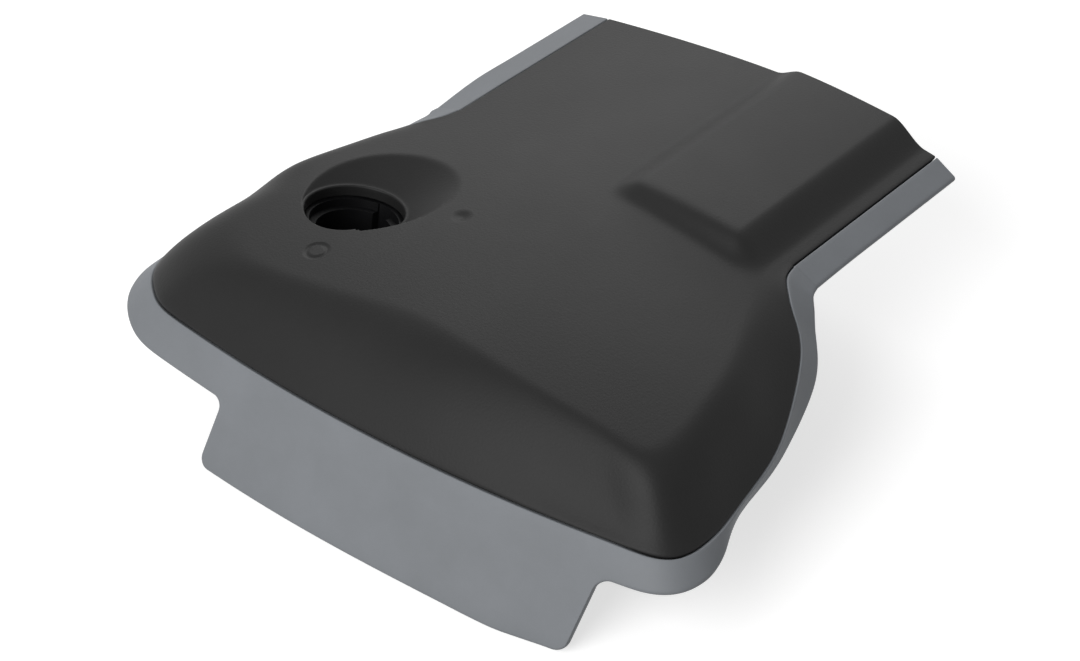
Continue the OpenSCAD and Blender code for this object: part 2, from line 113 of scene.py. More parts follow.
def curve_through(rows, u):
    """Smooth curve through the rows of a table, at row number u."""
    i = np.clip(np.floor(u).astype(int), 0, len(rows) - 2)
    t = (u - i)[:, None]
    a, b = rows[np.maximum(i - 1, 0)], rows[i]
    c, d = rows[i + 1], rows[np.minimum(i + 2, len(rows) - 1)]
    linear, square, cube = c - a, 2 * a - 5 * b + 4 * c - d, 3 * b - a - 3 * c + d
    return 0.5 * (2 * b + linear * t + square * t ** 2 + cube * t ** 3)


def seam_side(s):
    """One side of the seam from the bar's end to the front centre: x, y, z and the skirt's reach."""
    side = (1, -1)[s]
    top = float(crown(side * neck_half[s], 0.0))
    spread = foot_half[s] - neck_half[s]
    rows = []
    for r in flank:
        x = neck_half[s] + spread * r[0]
        y = -neck_length - (shell_length - neck_length) * r[1] + skew * side * (x - neck_half[s])
        rows.append([side * x, y, mix(top, -front_drop, r[2]), r[3 + s], r[5 + s]])
    x_end = foot_half[s] - corner_run
    rows.append([side * x_end, front_line(side * x_end), -front_drop, *corner_reach[s]])
    rows = np.array(rows)
    neck = [[side * neck_half[s], mix(-rim_setback, -neck_length, i / neck_columns), top,
             *neck_reach[s]] for i in range(neck_columns)]
    flank_part = curve_through(rows, np.arange(0, len(rows) - 1, 1 / flank_columns))
    front = []
    for i in range(front_columns):
        x = x_end * (1 - i / (front_columns - 1))
        reach = mix(np.array(corner_reach[s]), np.array(front_reach), smooth((x_end - x) / front_blend))
        front.append([side * x, front_line(side * x), -front_drop, *reach])
    return np.vstack([neck, flank_part, front])


right_side, left_side = seam_side(0), seam_side(1)
seam_rows = np.vstack([left_side, right_side[-2::-1]])
seam_middle = len(left_side) - 1
seam_end = len(seam_rows) - 1
corner_row = seam_middle - front_columns + 1

# Outward direction in plan at each row of the seam
ahead = seam_rows[np.minimum(np.arange(seam_end + 1) + 1, seam_end), :2]
behind = seam_rows[np.maximum(np.arange(seam_end + 1) - 1, 0), :2]
heading = (ahead - behind) / np.linalg.norm(ahead - behind, axis=1)[:, None]
outward_rows = np.column_stack([heading[:, 1], -heading[:, 0]])

# Fine table of the seam, with even steps along it
fine_u = np.linspace(0, seam_end, 3000)
fine_seam = np.column_stack([curve_through(seam_rows, fine_u), curve_through(outward_rows, fine_u)])
fine_step = np.linalg.norm(np.diff(fine_seam[:, :3], axis=0), axis=1)
fine_run = np.concatenate([[0], np.cumsum(fine_step)])
even_step = 0.1
even_run = np.arange(0, fine_run[-1], even_step)
even_seam = np.column_stack([np.interp(even_run, fine_run, c) for c in fine_seam.T])

# It is rounded where it turns the two front corners: its points by a little,
# and the skirt's reach and direction by more
point_rounding, skirt_rounding = 2.8, 4.5
corner_zone, corner_fade = 2.2, 9.0
window = 180
near_corner = np.zeros_like(even_run)
for row in (corner_row, seam_end - corner_row):
    away = np.abs(even_run - np.interp(row, fine_u, fine_run))
    near_corner = np.maximum(near_corner, smooth(corner_zone - away / corner_fade))
for k in range(even_seam.shape[1]):
    rounding = point_rounding if k < 3 else skirt_rounding
    weights = np.exp(-0.5 * (np.arange(-window, window + 1) * even_step / rounding) ** 2)
    padded = np.pad(even_seam[:, k], window, mode="edge")
    rounded = np.convolve(padded, weights / weights.sum(), mode="valid")
    even_seam[:, k] = mix(even_seam[:, k], rounded, near_corner)


def seam_at(u):
    """At rows u: seam points, directions down the skirt and into the shell, skirt lengths."""
    run = np.interp(u, fine_u, fine_run)
    p = np.column_stack([np.interp(run, even_run, c) for c in even_seam.T])
    p, n = p[:, :5], p[:, 5:]
    n /= np.linalg.norm(n, axis=1)[:, None]
    length = np.hypot(p[:, 3], p[:, 4])
    out, down = p[:, 3] / length, p[:, 4] / length
    along = np.column_stack([n * out[:, None], -down])
    inward = np.column_stack([-n * down[:, None], -out])
    return p[:, :3], along, inward, length


def from_neck(u):
    """Row number counted from the bar's end on either side."""
    return np.where(u > seam_middle, seam_end - u, u)


def flank_row(u):
    """Row number in the flank's table."""
    return (from_neck(u) - neck_columns) / flank_columns


# The columns of faces end on a spine in the middle, which stops short of the front
spine_share, spine_power = 0.46, 0.8


def spine_at(u):
    """Point of the spine that the column of faces at row u runs to."""
    i = from_neck(u)
    end = -neck_length - spine_share * (shell_length - neck_length)
    on_neck = mix(-rim_setback, -neck_length, i / neck_columns)
    share = np.clip((i - neck_columns) / (seam_middle - neck_columns), 0, 1) ** spine_power
    on_foot = mix(-neck_length, end, share)
    return np.column_stack([np.zeros(len(u)), np.where(i <= neck_columns, on_neck, on_foot)])


# The right flank's foot curls outwards. The curl starts and ends at a row of the
# flank's table, each over a number of rows
curl, curl_starts, curl_ends = 0.7, (1.5, 2.5), (8.0, 1.5)

# Widths of the rounded shoulders and how steeply they fall, along the flanks and at the front
flank_shoulder, front_shoulder, least_shoulder = (14.0, 9.5), 17.0, 2.0
shoulder_turn, neck_turn = (7.0, 4.0), 4.0
flank_fall, front_fall = 2.6, 1.8
fall_turn, fall_blend = 0.75, 0.4


def flank_curl(u):
    """How far the foot of the right flank curls outwards."""
    r = flank_row(u)
    starts = smooth((r - curl_starts[0]) / curl_starts[1])
    ends = smooth((r - curl_ends[0]) / curl_ends[1])
    return np.where(u < seam_middle, 0.0, curl * starts * (1 - ends))


def skin(u, shares, start, lower):
    """Grid of points from the edge (share 0) to the spine (share 1)."""
    r = flank_row(u)
    right, left = (mix(flank_shoulder[s], front_shoulder, smooth(r - shoulder_turn[s]))
                   for s in (0, 1))
    width = np.where(u < seam_middle, left, right) * smooth(r / neck_turn)
    width = np.maximum(least_shoulder, width)[:, None]
    power = mix(flank_fall, front_fall, smooth((r / len(flank) - fall_turn) / fall_blend))[:, None]
    curled = flank_curl(u)[:, None]
    c = spine_at(u)
    s = shares[None, :]
    x = start[:, 0:1] + (c[:, 0:1] - start[:, 0:1]) * s
    y = start[:, 1:2] + (c[:, 1:2] - start[:, 1:2]) * s
    d = np.hypot(start[:, 0] - c[:, 0], start[:, 1] - c[:, 1])[:, None] * s
    rise = (crown(start[:, 0], start[:, 1]) - lower - start[:, 2])[:, None]
    v = np.clip(d / width, 0, 1)
    z = crown(x, y) - lower - rise * (1 - v) ** power * (1 + power * curled * v)
    return np.stack([x, y, z], axis=2)


# The lock's axis leans towards the bar. Its frame has w up the axis, and the
# recess flares out from the mouth as w grows
lock_at = np.array([-30.0, -76.5, 0.3])
lean = np.radians(10.0)
mouth_radius = 8.7
recess_floor, recess_pivot = mouth_radius + 0.5, mouth_radius + 2.0
recess_spread = (1.0 / 8.0, 0.55 / 8.0)
recess_top, recess_zone = 14.0, 30.0
halvings = 34


def from_lock(p):
    """World points from the lock's own frame."""
    p = np.asarray(p, float)
    y = p[..., 1] * np.cos(lean) + p[..., 2] * np.sin(lean)
    z = -p[..., 1] * np.sin(lean) + p[..., 2] * np.cos(lean)
    return np.stack([p[..., 0], y, z], axis=-1) + lock_at


def to_lock(p):
    """Points in the lock's own frame from world points."""
    q = np.asarray(p, float) - lock_at
    y = q[..., 1] * np.cos(lean) - q[..., 2] * np.sin(lean)
    z = q[..., 1] * np.sin(lean) + q[..., 2] * np.cos(lean)
    return np.stack([q[..., 0], y, z], axis=-1)


def recess_height(x, y):
    """Height of the recess's floor and flared wall over each plan point."""
    dx, dy = x - lock_at[0], y - lock_at[1]
    low, high = np.zeros_like(dx), np.full_like(dx, recess_top)
    for _ in range(halvings):
        w = (low + high) / 2
        v = (dy - w * np.sin(lean)) / np.cos(lean)
        across = dx / (1 + recess_spread[0] * w)
        along = (v + recess_pivot) / (1 + recess_spread[1] * w) - recess_pivot
        outside = across ** 2 + along ** 2 > recess_floor ** 2
        low, high = np.where(outside, w, low), np.where(outside, high, w)
    w = (low + high) / 2
    v = (dy - w * np.sin(lean)) / np.cos(lean)
    return lock_at[2] - v * np.sin(lean) + w * np.cos(lean)


def sink(points, floor_drop, softness):
    """Lowers a skin into the recess, with a soft lip where the two meet."""
    near = np.hypot(points[..., 0] - lock_at[0], points[..., 1] - lock_at[1]) < recess_zone
    x, y, z = points[near].T
    dish = recess_height(x, y) - floor_drop
    h = np.clip(0.5 + 0.5 * (dish - z) / softness, 0, 1)
    points = points.copy()
    points[near, 2] = mix(dish, z, h) - softness * h * (1 - h)
    return points


def eased(grid, shares, passes):
    """Softens the folds that run in from the corners, and leaves the edge as it is."""
    grid = grid.copy()
    edge_share = 0.22
    hold = (0.5 * smooth(shares / edge_share))[None, :, None]
    for _ in range(passes):
        grid[1:-1] += hold * (0.5 * (grid[:-2] + grid[2:]) - grid[1:-1])
    return grid


# Columns lie closer together where the seam bends, and rows near the edge
steps = np.concatenate([
    np.arange(0, neck_columns, 1 / 10), np.arange(neck_columns, corner_row, 1 / 4),
    np.arange(corner_row, seam_middle, 1 / 9),
])
columns = np.concatenate([steps, [seam_middle], seam_end - steps[::-1]])
near_edge = 0.3
outer_shares = np.concatenate([np.linspace(0.0, near_edge, 26)[1:], np.linspace(near_edge, 1.0, 50)[1:]])
inner_shares = np.concatenate([np.linspace(0.0, near_edge, 12), np.linspace(near_edge, 1.0, 26)[1:]])

skirt_seat, flange_thick, flange_share = 1.7, 1.5, 0.45
edge_round, curl_lift = 0.7, 1.6
edge, skirt_way, in_way, skirt_length = seam_at(columns)
plain_top = eased(skin(columns, outer_shares, edge, 0.0), outer_shares, 30)

# The shell's lower edge is rounded off into the ledge that the skirt lies on
rounded, turned = [], edge + in_way * edge_round
for t in (0.25, 0.5, 0.75, 1.0):
    rounded.append((1 - t) ** 2 * plain_top[:, 0] + 2 * t * (1 - t) * edge + t * t * turned)
ledge = edge + in_way * skirt_seat
flange_tip = ledge + skirt_way * (flange_share * skirt_length)[:, None]
flange_back = flange_tip + in_way * flange_thick
inner_edge = ledge + in_way * flange_thick - skirt_way * (1 - curl_lift * flank_curl(columns))[:, None]

# Both skins sink into the recess, and leave a plate between them over the barrel
plate, plate_softness, lip_softness = 2.0, 1.6, 0.35
top_skin = sink(plain_top, 0.0, lip_softness)
under_skin = sink(skin(columns, inner_shares, inner_edge, wall), plate, plate_softness)

# One column of points runs from the spine over the top, round the edge and the
# flange, and back under the shell to the spine
section = np.concatenate([
    top_skin[:, ::-1], np.stack(rounded, axis=1),
    ledge[:, None], flange_tip[:, None], flange_back[:, None], under_skin,
], axis=1)


def grid_faces(columns, rows):
    """Quads of a grid of vertices laid out column after column."""
    c, r = np.meshgrid(np.arange(columns - 1), np.arange(rows - 1), indexing="ij")
    a = (c * rows + r).ravel()
    return np.column_stack([a, a + rows, a + rows + 1, a + 1])


column_count, section_count = section.shape[:2]
points = section.reshape(-1, 3)
faces = grid_faces(column_count, section_count)
top_rows, under_rows = len(outer_shares), len(inner_shares)
is_top = (faces[:, 0] % section_count) < top_rows
is_under = (faces[:, 0] % section_count) >= section_count - under_rows

# Rings of points run in from the top skin to the lock's mouth, round its lip,
# through the plate, down the bore and up the outside of the boss
ring_count = 144
turn = np.linspace(0, 2 * np.pi, ring_count, endpoint=False)
circle = np.column_stack([np.cos(turn), np.sin(turn)])
lip, mouth_ring, bore_ring = 0.35, 1.2, 4
patch_centre, patch_radius = lock_at[:2] + (0.5, 4.6), 17.0
boss_inner, boss_outer, boss_end, boss_edge = 9.45, 12.4, -14.65, 0.4


def drop_on(tree, plan):
    """Heights at which vertical lines meet a skin."""
    above, down = 60.0, Vector((0, 0, -1))
    return np.array([tree.ray_cast(Vector((x, y, above)), down)[0][2] for x, y in plan])


def ring_at(radius, height):
    """A ring about the lock's axis."""
    return from_lock(np.column_stack([circle * radius, np.full(ring_count, height)]))


plain_points = np.concatenate([plain_top[:, ::-1], section[:, top_rows:]], axis=1).reshape(-1, 3)
plain_tree = BVHTree.FromPolygons(plain_points.tolist(), faces[is_top].tolist())
mouth_plan = ring_at(mouth_radius + lip, 0.0)[:, :2]
rings = []
for share in np.linspace(0, 1, 36):
    plan = mix(patch_centre + circle * patch_radius, mouth_plan, share)
    rings.append(sink(np.column_stack([plan, drop_on(plain_tree, plan)]), 0.0, lip_softness))
mouth = to_lock(rings[-1])
way = mouth[:, :2] / np.linalg.norm(mouth[:, :2], axis=1)[:, None]
for a in np.radians([15, 30, 45, 60, 75, 90]):
    radius = mouth_radius + lip * (1 - np.sin(a))
    rings.append(from_lock(np.column_stack([way * radius, mouth[:, 2] - lip * (1 - np.cos(a))])))
for radius, height in (
    (mouth_radius, -mouth_ring), (mouth_radius, -plate), (boss_inner, -plate),
    (boss_inner, -plate - bore_ring), (boss_inner, boss_end + boss_edge),
    (boss_inner + boss_edge, boss_end), (boss_outer - boss_edge, boss_end),
    (boss_outer, boss_end + boss_edge),
):
    rings.append(ring_at(radius, height))
under_tree = BVHTree.FromPolygons(points.tolist(), faces[is_under].tolist())
axis = Vector((0, np.sin(lean), np.cos(lean)))
boss_root = [under_tree.ray_cast(Vector(p), axis)[0] for p in ring_at(boss_outer, boss_end)]
rings.append(np.array(boss_root))


def patch_in(points, faces, ring):
    """Cuts the faces of a skin round a ring of vertices and knits the gap between them."""
    patch_gap, widest_face = 0.5, 3.0
    centre = points[ring, :2].mean(axis=0)
    reach = np.linalg.norm(points[ring, :2] - centre, axis=1).max() + patch_gap
    gap = np.linalg.norm(points[:, :2] - centre, axis=1) < reach
    kept = faces[~gap[faces].any(axis=1)]
    sides = np.concatenate([kept[:, [0, 1]], kept[:, [1, 2]], kept[:, [2, 3]], kept[:, [3, 0]]])
    unique, used = np.unique(np.sort(sides, axis=1), axis=0, return_counts=True)
    border = unique[used == 1]
    off = np.linalg.norm(points[border[:, 0], :2] - centre, axis=1)
    border = border[off < reach + widest_face]
    beside = {}
    for a, b in border.tolist():
        beside.setdefault(a, []).append(b)
        beside.setdefault(b, []).append(a)
    loop = [border[0, 0], border[0, 1]]
    while len(loop) < len(border):
        loop.append(next(v for v in beside[loop[-1]] if v != loop[-2]))
    x, y = points[loop, 0], points[loop, 1]
    if np.sum(x * np.roll(y, -1) - y * np.roll(x, -1)) < 0:
        loop.reverse()
    ids = [int(i) for i in loop] + list(ring)
    flat = [Vector(points[i, :2]) for i in ids]
    outlines = [list(range(len(loop))), list(range(len(loop), len(ids)))]
    _, _, tris, origin, _, parents = delaunay_2d_cdt(flat, [], outlines, 1, 1e-6, True)
    back = [ids[o[0]] for o in origin]
    knit = [[back[i] for i in t] for t, parent in zip(tris, parents) if list(parent) == [0]]
    return kept, knit


first = len(points)
points = np.vstack([points] + rings)
ring_ids = first + np.arange(len(rings) * ring_count).reshape(len(rings), ring_count)
top_faces, top_knit = patch_in(points, faces[is_top], ring_ids[0].tolist())
under_faces, under_knit = patch_in(points, faces[is_under], ring_ids[-1].tolist())
quads = [top_faces, under_faces, faces[~is_top & ~is_under]]
for a, b in zip(ring_ids[:-1], ring_ids[1:]):
    quads.append(np.column_stack([a, np.roll(a, -1), np.roll(b, -1), b]))
one_end = np.arange(section_count)
other_end = (column_count - 1) * section_count + one_end
end_cap = np.concatenate([one_end, other_end[::-1]])
shell_faces = np.vstack(quads).tolist() + top_knit + under_knit + [end_cap.tolist()]


def placed(name, data):
    """A new object at the origin."""
    made = bpy.data.objects.new(name, data)
    bpy.context.collection.objects.link(made)
    return made


def shade(work, smooth_angle):
    """Shades a mesh smooth, apart from edges that turn by more than an angle in degrees."""
    for face in work.faces:
        face.smooth = True
    for line in work.edges:
        line.smooth = line.calc_face_angle(0.0) < np.radians(smooth_angle)


def plain_mesh(name, points, faces, smooth_angle):
    """An object from points in mm, with its faces turned outwards."""
    mesh = bpy.data.meshes.new(name)
    mesh.from_pydata((points * MM).tolist(), [], faces)
    work = bmesh.new()
    work.from_mesh(mesh)
    bmesh.ops.remove_doubles(work, verts=work.verts, dist=1e-7)
    bmesh.ops.delete(work, geom=[v for v in work.verts if not v.link_faces], context="VERTS")
    bmesh.ops.recalc_face_normals(work, faces=work.faces)
    shade(work, smooth_angle)
    work.to_mesh(mesh)
    work.free()
    return placed(name, mesh)


cover = plain_mesh("shell", points, shell_faces, 38.0)


def sink_mark(piece, plan, radius, line, depth):
    """Sinks a ring, or a dimple where the radius is 0, into a finer patch of the top skin."""
    margin, cuts, inner_share, passes = 1.5, 4, 0.85, 12
    centre = Vector((*plan, drop_on(plain_tree, [plan])[0])) * MM
    reach = (radius + line + margin) * MM
    work = bmesh.new()
    work.from_mesh(piece.data)

    def on_top(element, within):
        verts = element.verts if isinstance(element, bmesh.types.BMEdge) else [element]
        return (all((v.co - centre).length < within for v in verts)
                and all(f.normal.z > 0 for f in element.link_faces))

    near = [e for e in work.edges if on_top(e, reach)]
    bmesh.ops.subdivide_edges(work, edges=near, cuts=cuts, use_grid_fill=True)
    work.normal_update()
    inner = [v for v in work.verts if on_top(v, inner_share * reach)]
    for _ in range(passes):
        bmesh.ops.smooth_vert(work, verts=inner, factor=0.5, use_axis_x=True, use_axis_y=True,
                              use_axis_z=True)
    work.normal_update()
    shifts = []
    for v in inner:
        off_line = abs((v.co - centre).length / MM - radius) / line
        shifts.append(v.normal * (-depth * MM * 0.5 * (1 + np.cos(np.pi * min(1.0, off_line)))))
    for v, shift in zip(inner, shifts):
        v.co += shift
    work.to_mesh(piece.data)
    work.free()


# Two sunk marks beside the recess show where the latch is shut, a dimple, and open, a ring
sink_mark(cover, (-11.0, -69.9), 0.0, 2.1, 0.4)
sink_mark(cover, (-25.2, -90.5), 1.8, 0.7, 0.2)


def pushed_through(outline, depth):
    """Mesh data of a flat outline of points in mm, pushed through by depth."""
    work = bmesh.new()
    face = work.faces.new([work.verts.new([c * MM for c in p]) for p in outline])
    pushed = bmesh.ops.extrude_face_region(work, geom=[face])
    moved = [v for v in pushed["geom"] if isinstance(v, bmesh.types.BMVert)]
    bmesh.ops.translate(work, verts=moved, vec=[c * MM for c in depth])
    bmesh.ops.recalc_face_normals(work, faces=work.faces)
    return work


def break_edges(work, width, least_turn):
    """Rounds the edges that turn by more than an angle, in radians."""
    edges = [e for e in work.edges if e.calc_face_angle(0.0) > least_turn]
    bmesh.ops.bevel(work, geom=edges, offset=width * MM, segments=2, profile=0.5, affect="EDGES",
                    clamp_overlap=True)


def loose_piece(work, name):
    """A new object from finished mesh data."""
    mesh = bpy.data.meshes.new(name)
    work.to_mesh(mesh)
    work.free()
    return placed(name, mesh)


def slab(name, outline, depth, bevel):
    """A flat plate with its edges broken."""
    work = pushed_through(outline, depth)
    break_edges(work, bevel, 0.5)
    return loose_piece(work, name)


def join(pieces, name):
    """Puts several meshes of one moulding into one object."""
    with bpy.context.temp_override(active_object=pieces[0], selected_editable_objects=pieces):
        bpy.ops.object.join()
    pieces[0].name = pieces[0].data.name = name
    return pieces[0]


# The web closes the neck against the bar, and two hooks catch under its end
web_inset, web_thick, web_low, web_under = 1.2, 2.4, -1.5, 1.4
hook_at, hook_width, hook_under = (-18.0, 18.0), 9, 1.1
web_x = np.linspace(-neck_half[1] + web_inset, neck_half[0] - web_inset, 60)
web_outline = [(web_x[-1], 0, web_low), (web_x[0], 0, web_low)]
web_outline += [(x, 0, float(crown(x, 0)) - web_under) for x in web_x]
moulded = [cover, slab("web", web_outline, (0, -web_thick, 0), 0.15)]
for x in hook_at:
    top = float(crown(x, -8.0)) - hook_under
    profile = [(-8, top), (-8, -7), (-2.4, -7), (-2.4, -5.8), (-5.6, -4), (-5.6, top)]
    outline = [(x - hook_width / 2, y, z) for y, z in profile]
    moulded.append(slab("hook", outline, (hook_width, 0, 0), 0.35))
cover = join(moulded, "shell")
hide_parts("cover_shell")
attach(cover, "cover")


class Wire:
    """A node's output. Arithmetic on it adds Math nodes."""

    def __init__(self, graph, socket):
        self.graph, self.socket = graph, socket

    def __add__(self, other):
        return self.graph.math("ADD", self, other)

    def __sub__(self, other):
        return self.graph.math("SUBTRACT", self, other)

    def __rsub__(self, other):
        return self.graph.math("SUBTRACT", other, self)

    def __mul__(self, other):
        return self.graph.math("MULTIPLY", self, other)

    __radd__, __rmul__ = __add__, __mul__


class Graph:
    """A node tree of a material, of the world or of Geometry Nodes."""

    def __init__(self, tree):
        self.tree = tree

    def node(self, kind, settings={}, sockets={}, out=0):
        """Adds a node. A socket takes a value, a wire, or a list of wires."""
        made = self.tree.nodes.new(kind)
        for name, value in settings.items():
            if name == "stops":
                stops = made.color_ramp.elements
                while len(stops) < len(value):
                    stops.new(0.5)
                for stop, (place, colour) in zip(stops, value):
                    stop.position, stop.color = place, (*colour, 1.0)
            else:
                setattr(made, name, value)
        for name, value in sockets.items():
            wires = value if isinstance(value, list) else [value]
            if isinstance(wires[0], Wire):
                for wire in wires:
                    self.tree.links.new(wire.socket, made.inputs[name])
            else:
                made.inputs[name].default_value = value
        return Wire(self, made.outputs[out]) if len(made.outputs) else None

    def math(self, operation, a, b):
        return self.node("ShaderNodeMath", {"operation": operation}, {0: a, 1: b})

    def output(self, wire, name):
        """Another output of the node that a wire comes from."""
        return Wire(self, wire.socket.node.outputs[name])

    def place(self):
        """The piece's own coordinates."""
        return self.node("ShaderNodeTexCoord", out="Object")

    def noise(self, place, scale, detail=2.0, roughness=0.5):
        return self.node("ShaderNodeTexNoise", {}, {
            "Vector": place, "Scale": scale, "Detail": detail, "Roughness": roughness})

    def ramp(self, factor, stops):
        return self.node("ShaderNodeValToRGB", {"stops": stops}, {"Fac": factor})

    def bump(self, height, distance, strength):
        return self.node("ShaderNodeBump", {}, {
            "Strength": strength, "Distance": distance, "Height": height})


def finish_of(name, look, **constants):
    """A surface finish: look gives the shader's sockets that vary, constants those that don't."""
    material = bpy.data.materials.new(name)
    material.use_nodes = True
    graph = Graph(material.node_tree)
    shader = material.node_tree.nodes["Principled BSDF"]
    for key, value in constants.items():
        shader.inputs[key.replace("_", " ")].default_value = value
    for key, wire in look(graph).items():
        material.node_tree.links.new(wire.socket, shader.inputs[key])
    return material


def coat(piece, finish):
    """Gives the whole of a piece one finish."""
    piece.data.materials.clear()
    piece.data.materials.append(finish)


shell_dark, shell_light = (0.0095,) * 3, (0.0125,) * 3
shell_relief, shell_bump = 0.08 * MM, 0.35


def shell_look(graph):
    """Black plastic with a fine spark-eroded grain and a faint cloudiness."""
    place = graph.place()
    cloud = graph.noise(place, 55.0, 4.0, 0.6)
    grain = graph.noise(place, 2600.0, 2.0, 0.6)
    pores = graph.node("ShaderNodeTexVoronoi", {}, {"Vector": place, "Scale": 2100.0})
    colour = graph.ramp(cloud * 0.8 + grain * 0.2, [(0.3, shell_dark), (0.7, shell_light)])
    bump = graph.bump(grain * 0.6 + pores * 0.4, shell_relief, shell_bump)
    return {"Base Color": colour, "Roughness": 0.42 + cloud * 0.1 + grain * 0.06, "Normal": bump}


shell_finish = finish_of("shell_grain", shell_look, IOR=1.5, Specular_IOR_Level=0.17)
coat(cover, shell_finish)

# ---------------------------------------------------------------------------
# Stiffening ribs: thin walls moulded under the shell, three along it and the
# rest fanning out from its middle to the flanks. Their tops run into the
# shell's inner skin wherever that skin is.

# The tree stands a wall on each line: it raises a strip between the skin, which
# it finds by a ray from below, and a depth that grows from the neck to the foot,
# and gives the strip its thickness. A line's own height shifts its rib's depth.
rib_tree = bpy.data.node_groups.new("ribs", "GeometryNodeTree")
rib_tree.interface.new_socket("Geometry", in_out="OUTPUT", socket_type="NodeSocketGeometry")
rib_inputs = {
    "Lines": "Geometry", "Skin": "Object", "Thickness": "Float", "Depth at the neck": "Float",
    "Depth under the foot": "Float", "Neck length": "Float", "Depth blend": "Float",
    "Root": "Float", "Least height": "Float", "Steps": "Int", "Finish": "Material",
}
for label, kind in rib_inputs.items():
    rib_tree.interface.new_socket(label, in_out="INPUT", socket_type="NodeSocket" + kind)
g = Graph(rib_tree)
given = g.node("NodeGroupInput")
(lines, probe, thickness, neck_depth, foot_depth, neck_end, blend, root, least, count,
 rib_finish) = (g.output(given, label) for label in rib_inputs)
path = g.node("GeometryNodeMeshToCurve", {}, {"Mesh": lines})
path = g.node("GeometryNodeResampleCurve", {}, {"Curve": path, "Count": count})
path = g.node("GeometryNodeCurveToMesh", {}, {"Curve": path})
upward = g.node("ShaderNodeCombineXYZ", {}, {"Z": 0.005})
strip = g.node("GeometryNodeExtrudeMesh", {"mode": "EDGES"}, {
    "Mesh": path, "Offset": upward, "Offset Scale": 1.0})
is_upper = g.output(strip, "Top")
x = g.node("ShaderNodeSeparateXYZ", {}, {0: g.node("GeometryNodeInputPosition")})
y, own_drop = g.output(x, "Y"), g.output(x, "Z")
below = g.node("ShaderNodeCombineXYZ", {}, {"X": x, "Y": y, "Z": -0.08})
skin_shape = g.node("GeometryNodeObjectInfo", {}, {"Object": probe}, "Geometry")
hit = g.node("GeometryNodeRaycast", {}, {
    "Target Geometry": skin_shape, "Source Position": below,
    "Ray Direction": (0, 0, 1), "Ray Length": 1.0}, "Hit Position")
top = g.node("ShaderNodeSeparateXYZ", {}, {0: hit}, "Z")
deep = g.node("ShaderNodeMapRange", {"interpolation_type": "SMOOTHSTEP"}, {
    "Value": 0.0 - y, "From Min": neck_end, "From Max": neck_end + blend,
    "To Min": 0.0 - neck_depth, "To Max": 0.0 - foot_depth})
low = g.math("MINIMUM", deep + own_drop, top - least)
height = g.node("GeometryNodeSwitch", {"input_type": "FLOAT"}, {
    "Switch": is_upper, "False": low, "True": top + root})
place = g.node("ShaderNodeCombineXYZ", {}, {"X": x, "Y": y, "Z": height})
strip = g.node("GeometryNodeSetPosition", {}, {"Geometry": strip, "Position": place})
half = g.node("ShaderNodeVectorMath", {"operation": "SCALE"}, {
    0: g.node("GeometryNodeInputNormal"), "Scale": thickness * -0.5})
strip = g.node("GeometryNodeSetPosition", {}, {"Geometry": strip, "Offset": half})
raised = g.node("GeometryNodeExtrudeMesh", {"mode": "FACES"}, {
    "Mesh": strip, "Offset Scale": thickness, "Individual": False})
back = g.node("GeometryNodeFlipFaces", {}, {"Mesh": strip})
solid = g.node("GeometryNodeJoinGeometry", {}, {"Geometry": [raised, back]})
solid = g.node("GeometryNodeMergeByDistance", {}, {"Geometry": solid, "Distance": 1e-6})
solid = g.node("GeometryNodeRealizeInstances", {}, {"Geometry": solid})
solid = g.node("GeometryNodeSetMaterial", {}, {"Geometry": solid, "Material": rib_finish})
g.node("NodeGroupOutput", {}, {0: solid})


def baked(piece, tree, inputs, name):
    """Runs a Geometry Nodes tree on a mesh and keeps the result as a plain mesh."""
    modifier = piece.modifiers.new(tree.name, "NODES")
    modifier.node_group = tree
    for item in tree.interface.items_tree:
        if item.in_out == "INPUT" and item.name in inputs:
            modifier[item.identifier] = inputs[item.name]
    depsgraph = bpy.context.evaluated_depsgraph_get()
    mesh = bpy.data.meshes.new_from_object(piece.evaluated_get(depsgraph))
    bpy.data.objects.remove(piece)
    mesh.name = name
    return placed(name, mesh)


# Each line lies a little lower or higher than the others, so that no two ribs
# end level where they cross
rib_lanes, rib_ends, lane_drop = (-14.0, 4.0, 22.0), (-1.2, -92.0), -0.3
cross_drop, edge_gap = -0.03, 0.03
cross_rows = [2] + [neck_columns + k for k in (1, 13, 20, 29)] + [corner_row + 2]
rib_lines, rib_edges = [], []
for x in rib_lanes:
    rib_edges.append((len(rib_lines), len(rib_lines) + 1))
    rib_lines += [(x, y, lane_drop) for y in rib_ends]
for k, row in enumerate(cross_rows):
    ends = np.array([float(row), float(seam_end - row)])
    seam_point, _, into, _ = seam_at(ends)
    starts = seam_point + into * (skirt_seat + flange_thick)
    middle = spine_at(ends)[0]
    first = len(rib_lines)
    rib_edges += [(first, first + 1), (first + 1, first + 2)]
    starts = mix(starts[:, :2], middle, edge_gap)
    rib_lines += [(*end, cross_drop * k) for end in (starts[0], middle, starts[1])]
rib_lines = np.array(rib_lines)

# The ribs stop inside the boss's wall
boss_middle, boss_overlap, least_share = lock_at[:2] + (0.0, -1.4), 1.2, 0.02


def clear_of_boss(a, b):
    """The parts of a line in plan that lie outside the lock's boss."""
    way, off = b - a, a - boss_middle
    length, slope = way @ way, off @ way
    clearance = off @ off - (boss_outer - boss_overlap) ** 2
    crossing = slope * slope - length * clearance
    if crossing <= 0:
        return [(a, b)]
    enters, leaves = ((-slope + side * np.sqrt(crossing)) / length for side in (-1, 1))
    shares = ((0, min(enters, 1)), (max(leaves, 0), 1))
    return [(a + way * t, a + way * u) for t, u in shares if u - t > least_share]


